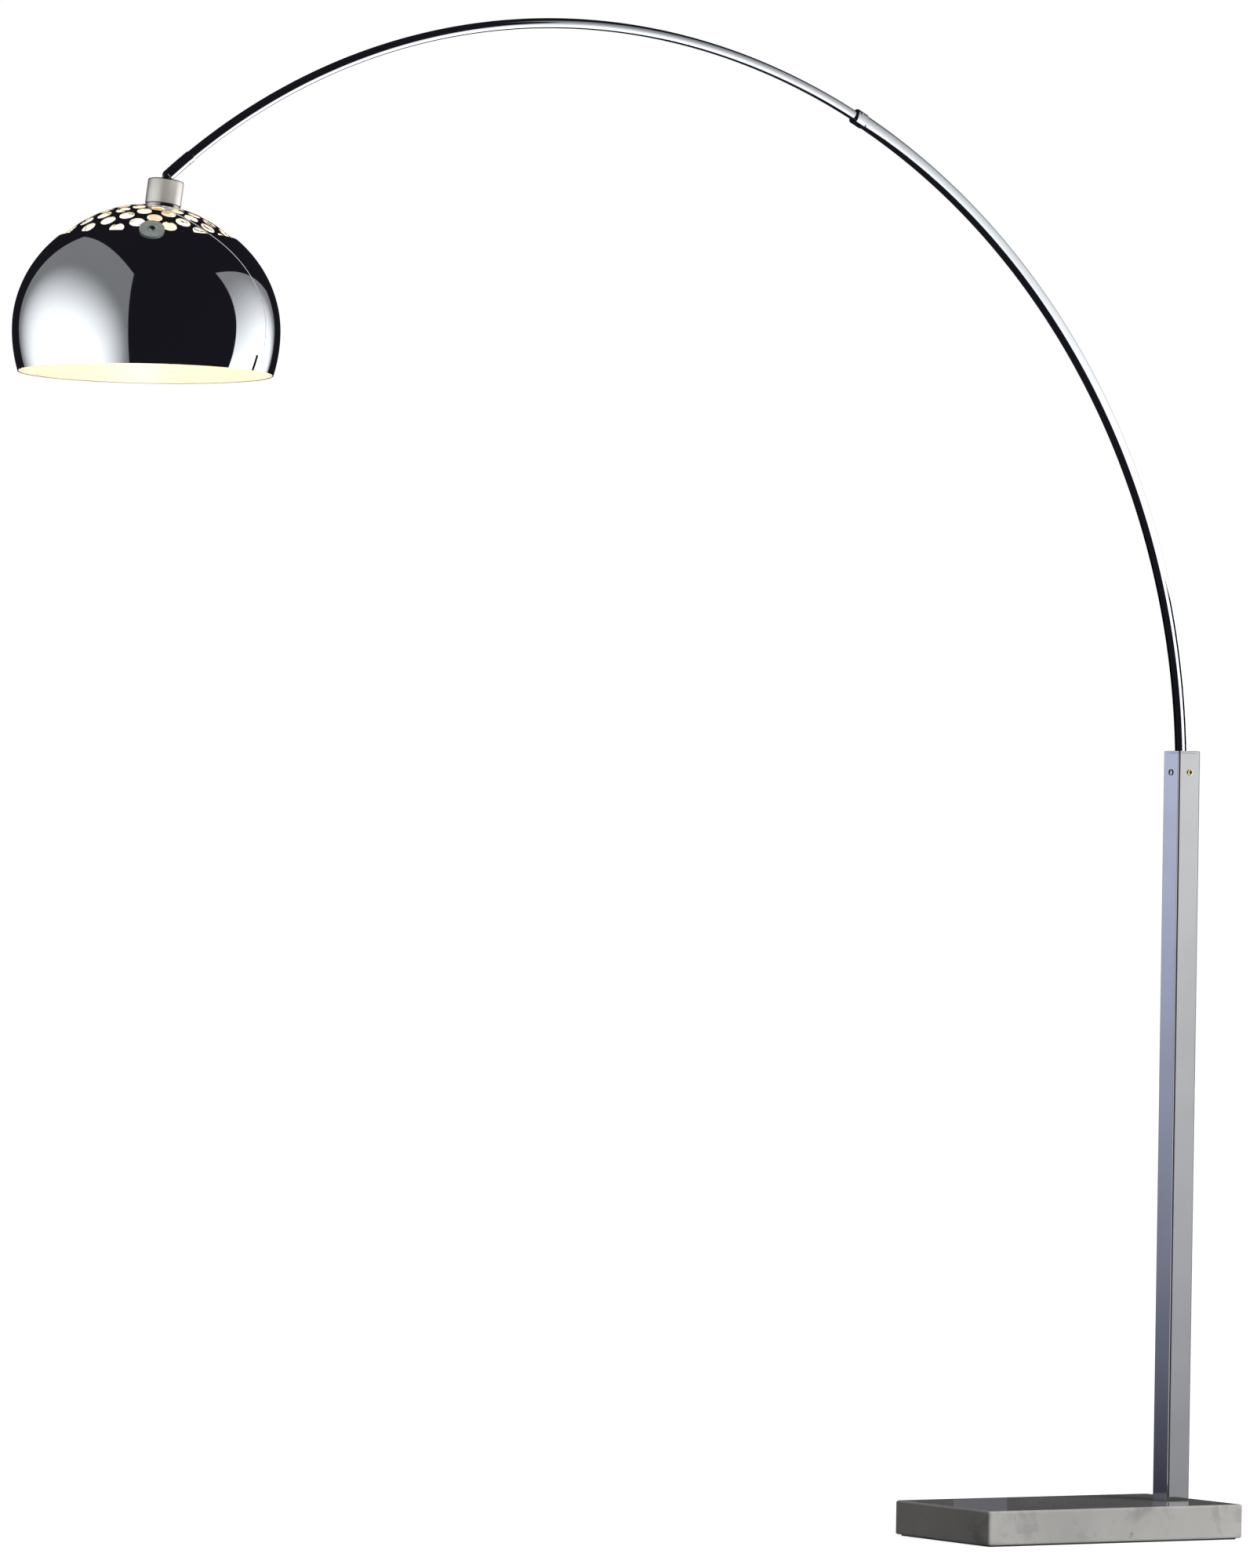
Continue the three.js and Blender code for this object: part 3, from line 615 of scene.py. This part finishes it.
def make_studio():
    """Two big panels for the head and arm, cards and panels for the pole, and two soft suns."""
    bpy.context.scene.view_settings.view_transform = "Standard"
    make_floor()
    make_world()
    left_glow = (0.50, 0.33, 0.52, 0.38, 2.0, 0.22)
    right_glow = (0.35, 0.40, 0.75, 0.60, 2.7, 0.26)
    reflected_panel("left_panel", (-2.5, 3.28), (-4.05, -2.45), -1.6, 7.2, left_glow, COOL_WHITE)
    reflected_panel("right_panel", (-0.476, -1.02), (2.76, 2.0), -1.8, 5.0, right_glow, COOL_WHITE)
    reflected_card("pole_front_card", (0.16, -0.255), (-0.53, 0.85), 0.2, -0.2, 1.6,
                   (0.33, 0.33, 0.34), (0.76, 0.76, 0.76))
    reflected_card("pole_left_card", (-0.16, 0.255), (0.53, -0.85), 0.2, -0.2, 1.6,
                   (0.05, 0.05, 0.07), (0.56, 0.60, 0.78))
    for name, (low, high, core, edge) in POLE_PANELS.items():
        reflected_panel(name, low, high, -0.2, 1.8, (0.5, 0.7, 1.4, 1.2, core, edge))
    soft_sun("key", 2.25, 40, (0.38, -0.86, 0.34))
    soft_sun("above", 0.6, 70, (0, 0, 1))


def light_only(emitter, names, state="INCLUDE"):
    """Lets an emitter light only these pieces, or all but these."""
    receivers = bpy.data.collections.new(emitter.name + "_receivers")
    emitter.light_linking.receiver_collection = receivers
    for name in names:
        receivers.objects.link(bpy.data.objects[name])
    for member in receivers.collection_objects:
        member.light_linking.link_state = state


def link_lights():
    """Says which pieces see which panel.

    The head sees both big panels, the arm only the right one, and the pole and slab neither. The
    pole's cards and panels light the pole alone, apart from the left card, which the slab sees too.
    """
    upright = ["pole_shell", "pole_cap"]
    arm = ["lower_arm", "upper_arm", "tip_sleeve_turned", "arm_ferrule_turned"]
    light_only(bpy.data.objects["left_panel"], [*upright, "slab_polished", *arm], "EXCLUDE")
    light_only(bpy.data.objects["right_panel"], [*upright, "slab_polished"], "EXCLUDE")
    for name in ("pole_front_card", *POLE_PANELS):
        light_only(bpy.data.objects[name], upright)
    light_only(bpy.data.objects["pole_left_card"], [*upright, "slab_polished"])


# ---------------------------------------------------------------- pole and arm
def rounded_outline(low, high, inset, radius, steps=6, hold=0.6 * MM):
    """Points round a rectangle with rounded corners, with a close point either side of each corner."""
    points = []
    for quarter, (right, far) in enumerate(((1, 1), (-1, 1), (-1, -1), (1, -1))):
        corner = Vector((high.x if right > 0 else low.x, high.y if far > 0 else low.y))
        centre = corner - (inset + radius) * Vector((right, far))
        start = quarter * math.pi / 2
        turns = [start + i * math.pi / 2 / steps for i in range(steps + 1)]
        arc = [centre + radius * Vector((math.cos(a), math.sin(a))) for a in turns]
        before = arc[0] + hold * Vector((math.sin(start), -math.cos(start)))
        after = arc[-1] + hold * Vector((-math.cos(start), -math.sin(start)))
        points += [before, *arc, after]
    return points


def circle(radius, count, x=0.0):
    """Points round a circle, half a step in, so that each quarter pairs with an outline's corner."""
    turns = (2 * math.pi * (i + 0.5) / count for i in range(count))
    return [Vector((x + radius * math.cos(a), radius * math.sin(a))) for a in turns]


def lofted(name, look, sections):
    """A closed body from (points, height) sections in a loop."""
    bm = bmesh.new()
    rings = [[bm.verts.new((point.x, point.y, height)) for point in points] for points, height in sections]
    skin(bm, rings, closed=True)
    piece = piece_from(bm, name, [look])
    crease(piece)
    return piece


def rounding(radius, steps=6):
    """(inset, rise) pairs up a quarter-round edge, from its foot to its crown."""
    turns = (i * math.pi / 2 / steps for i in range(steps + 1))
    return [(radius * (1 - math.cos(a)), radius * math.sin(a)) for a in turns]


def make_slab():
    """The polished slab, with eased edges and the bolt's stepped hole."""
    bottom, top = SLAB_LOW.z, SLAB_HIGH.z
    edge, hold = SLAB["edge"], 2 * MM

    def section(inset, height):
        return rounded_outline(SLAB_LOW, SLAB_HIGH, inset, SLAB["corner"] - 0.3 * inset, hold=hold), height

    count = len(section(0, 0)[0])
    recess, hole, ledge = circle(SLAB["recess"], count), circle(SLAB["hole"], count), bottom + SLAB["depth"]
    sections = [(recess, bottom), section(edge, bottom)]
    sections += [section(inset, bottom + edge - rise) for inset, rise in rounding(edge)[::-1]][1:]
    sections += [section(0, bottom + edge + hold), section(0, top - edge - hold)]
    sections += [section(inset, top - edge + rise) for inset, rise in rounding(edge)]
    sections += [section(edge + hold, top), (hole, top), (hole, ledge), (recess, ledge)]
    stand_in(lofted("slab_polished", MARBLE, sections), "base", "marble", "marble_slab")


def make_pole():
    """The rolled square tube and its bored top plate."""
    bottom, top, wall = POLE_LOW.z, POLE_HIGH.z, POLE["wall"]
    lip, hold, hollow = 0.3 * MM, 1.5 * MM, POLE["corner"] - wall

    def section(inset, height, radius=POLE["corner"]):
        return rounded_outline(POLE_LOW, POLE_HIGH, inset, radius), height

    sections = [section(lip, bottom), section(0, bottom + lip), section(0, bottom + hold)]
    sections += [section(0, top - hold), section(0, top - lip), section(lip, top)]
    sections += [section(wall, top, hollow), section(wall, bottom, hollow)]
    stand_in(lofted("pole_shell", CHROME, sections), "base", "chrome", "pole_tube")

    low, high = top + PLAY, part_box("pole_top_cap")[1].z
    count = len(section(0, 0)[0])
    bore = circle(POLE["bore"], count, -2 * PLAY)
    sections = [(bore, low), section(lip, low), section(0, low + lip)]
    sections += [section(inset, high - MM + rise) for inset, rise in rounding(MM, 4)]
    sections += [section(2 * MM, high), (bore, high)]
    stand_in(lofted("pole_cap", CHROME, sections), "base", "chrome", "pole_top_cap")


def make_arm():
    """The two bent tubes, the grooved sleeve at the tip and the ferrule where they meet."""
    lower = arc_stations(0, LOWER["end"], LOWER["straight"])
    profile = tube_profile(lower, LOWER["radius"], LOWER["bore"], 0.5 * MM)
    stand_in(arm_tube("lower_arm", CHROME, lower, profile), "base", "chrome", "lower_arm_tube")
    upper = arc_stations(UPPER["start"], UPPER["end"])
    profile = tube_profile(upper, UPPER["radius"], UPPER["bore"], 0.4 * MM)
    stand_in(arm_tube("upper_arm", CHROME, upper, profile), "upper_arm", "chrome", "upper_arm_tube")

    sleeve = arc_stations(SLEEVE["start"], SLEEVE["end"], step=0.2)
    last = len(sleeve) - 1
    big, bore = SLEEVE["radius"], UPPER["radius"] + 0.2 * MM
    step_in = big - 0.5 * MM
    profile = [(0, 0.0, big - 0.6 * MM), (0, 0.6 * MM, big)]
    profile += [(i, 0.0, big) for i in range(1, 3)]
    profile += [(3, -1.2 * MM, big), (3, -0.9 * MM, step_in), (3, 0.9 * MM, step_in), (3, 1.2 * MM, big)]
    profile += [(i, 0.0, big) for i in range(4, last)]
    profile += [(last, -0.8 * MM, big), (last, 0.0, big - 0.8 * MM), (last, 0.0, bore), (0, 0.0, bore)]
    piece = arm_tube("tip_sleeve_turned", CHROME, sleeve, profile)
    stand_in(piece, "upper_arm", "chrome", "tip_sleeve")

    per_metre = math.degrees(1 / ARC_RADIUS)
    start = LOWER["end"] - FERRULE["overlap"] * per_metre
    end = LOWER["end"] + FERRULE["length"] * per_metre
    ring = arc_stations(start, end, step=(end - start) / 6)
    big = FERRULE["radius"]
    bore, throat = LOWER["radius"] + 0.2 * MM, UPPER["radius"] + 0.3 * MM
    profile = [(0, 0.0, bore), (0, 0.0, big - 0.5 * MM), (0, 0.5 * MM, big)]
    profile += [(i, 0.0, big) for i in range(1, 6)]
    profile += [(6, -0.8 * MM, big), (6, -0.2 * MM, big - 0.3 * MM), (6, 0.0, big - 1.0 * MM)]
    profile += [(6, 0.0, throat + 0.5 * MM), (6, -0.5 * MM, throat)]
    profile += [(2, 0.4 * MM, throat), (2, 0.4 * MM, bore)]
    piece = arm_tube("arm_ferrule_turned", CHROME, ring, profile)
    stand_in(piece, "base", "chrome", "arm_ferrule")


# ---------------------------------------------------------------- head
def make_cap():
    """The perforated cap: a spherical skin given its wall and then cut through by its holes."""
    bm = bmesh.new()
    around, rows = 168, 60
    first, last = math.asin(CAP["hole"] / CAP["radius"]), math.radians(CAP["skirt"])
    rings = []
    for r in range(rows + 1):
        polar = first + (last - first) * r / rows
        rings.append([
            bm.verts.new(CAP["radius"] * Vector((
                math.sin(polar) * math.cos(a), math.sin(polar) * math.sin(a), math.cos(polar))))
            for a in (2 * math.pi * i / around for i in range(around))
        ])
    skin(bm, rings)
    shell = piece_from(bm, "cap_perforated", [CHROME_DOME, LINING])
    shell.matrix_world = HEAD
    wall = shell.modifiers.new("wall", "SOLIDIFY")
    wall.thickness = CAP["wall"]
    wall.offset = -1.0
    wall.material_offset = 1
    wall.material_offset_rim = 0

    drills = bmesh.new()
    for polar, radius, shift in HOLE_ROWS:
        for i in range(HOLES_PER_ROW):
            turn = math.radians(HOLES_TURN + (i + shift) * 360 / HOLES_PER_ROW)
            lean = Matrix.Rotation(turn, 4, "Z") @ Matrix.Rotation(math.radians(polar), 4, "Y")
            bmesh.ops.create_cone(
                drills, cap_ends=True, segments=40, radius1=radius * MM, radius2=radius * MM, depth=30 * MM,
                matrix=HEAD @ lean @ Matrix.Translation((0, 0, CAP["radius"])))
    tool = piece_from(drills, "cap_drills", [CHROME_DOME])
    cut = shell.modifiers.new("holes", "BOOLEAN")
    cut.operation = "DIFFERENCE"
    cut.solver = "EXACT"
    cut.object = tool
    apply_modifiers(shell)
    bpy.data.objects.remove(tool)
    crease(shell, 35.0)
    stand_in(shell, "head", "polished_shade", "perforated_cap")


def apply_modifiers(piece):
    """Freezes a piece's modifiers and its place into its mesh."""
    bpy.context.view_layer.update()
    ready = piece.evaluated_get(bpy.context.evaluated_depsgraph_get())
    mesh = bpy.data.meshes.new_from_object(ready)
    piece.modifiers.clear()
    mesh.transform(piece.matrix_world)
    piece.matrix_world = Matrix.Identity(4)
    piece.data = mesh


def make_reflector():
    """The loose dome: chrome outside and on both of its edges, and lined inside."""
    from_polar = math.asin(SHADE_OPENING / SHADE["across"])
    to_polar = math.acos(SHADE_RIM / SHADE["down"])
    steps = 72

    def line(inset):
        points = []
        for i in range(steps + 1):
            polar = from_polar + (to_polar - from_polar) * i / steps
            tall = SHADE["up"] if polar < math.pi / 2 else SHADE["down"]
            points.append(((SHADE["across"] - inset) * math.sin(polar), (tall - inset) * math.cos(polar)))
        return points

    outside, inside = line(0), line(SHADE["wall"])
    profile = inside + outside[::-1]
    looks = [1] * steps + [0] * (steps + 2)
    frame_here = Matrix.Translation(SHADE_CENTRE)
    shell = turned("dome_reflector", [CHROME_DOME, LINING], profile, frame_here, 192, looks)
    stand_in(shell, "reflector", "polished_shade", "reflector")


def make_neck():
    """The pearly cup with its polished bevel and the slot for the arm's blade, and the ring below it."""
    big, top, bottom, floor = NECK["radius"], NECK["top"], NECK["bottom"], NECK["floor"]
    hollow, bore = big - NECK["wall"], CAP["hole"]
    profile = [
        (bore, bottom), (big - 0.6 * MM, bottom), (big - 0.15 * MM, bottom + 0.15 * MM),
        (big, bottom + 0.6 * MM), (big, top - 2.8 * MM), (big, top - 2 * MM),
        (big - 0.3 * MM, top - 1.3 * MM), (big - 0.6 * MM, top - 0.6 * MM),
        (big - 2 * MM, top), (big - 3 * MM, top), (PINHOLE, top), (PINHOLE, top - floor),
        (hollow, top - floor), (hollow, bottom + floor), (bore, bottom + floor),
    ]
    looks = [0] * len(profile)
    for index in (5, 6, 7):  # the bevel
        looks[index] = 1
    cup = turned("neck_pearl", [PEARL, CHROME], profile, HEAD, 96, looks)
    opening = bmesh.new()
    bmesh.ops.create_cube(
        opening, size=1.0,
        matrix=HEAD @ Matrix.Translation((0, 0, top)) @ Matrix.Diagonal((*SLOT, 4 * floor, 1)))
    tool = piece_from(opening, "slot_tool", [PEARL])
    cut = cup.modifiers.new("slot", "BOOLEAN")
    cut.solver = "EXACT"
    cut.object = tool
    apply_modifiers(cup)
    bpy.data.objects.remove(tool)
    crease(cup)
    stand_in(cup, "head", "satin_nickel", "neck_cup")

    def on_cap(radius):
        return radius, math.sqrt((CAP["radius"] + PLAY) ** 2 - radius ** 2)

    big, top = FLANGE["radius"], FLANGE["top"]
    profile = [on_cap(bore), on_cap(12 * MM), on_cap(big)]
    profile += [(big, top - MM), (big - 0.3 * MM, top - 0.3 * MM), (big - MM, top), (bore, top)]
    stand_in(turned("neck_ring", [CHROME], profile, HEAD), "head", "chrome", "neck_flange")


def make_bulb():
    """A frosted globe bulb."""
    centre = BULB["bottom"] + BULB["radius"]
    steps = 28
    shoulder = math.pi - math.asin(0.62)
    profile = [(PINHOLE, BULB["bottom"])]
    for i in range(1, steps + 1):
        turn = shoulder * i / steps
        profile.append((BULB["radius"] * math.sin(turn), centre - BULB["radius"] * math.cos(turn)))
    profile += [(BULB["neck"] + 1.5 * MM, BULB["seat"] - 12 * MM), (BULB["neck"], BULB["seat"] - 8 * MM)]
    profile += [(BULB["neck"] - 0.2 * MM, BULB["seat"] - 0.5 * MM), (PINHOLE, BULB["seat"] - 0.5 * MM)]
    bulb = turned("bulb_frosted", [LIT], profile, HEAD, 64)
    stand_in(bulb, "head", "bulb", "bulb_glass")


make_camera()
make_studio()
make_slab()
make_pole()
make_arm()
make_cap()
make_neck()
make_reflector()
make_bulb()
link_lights()

bpy.context.view_layer.update()
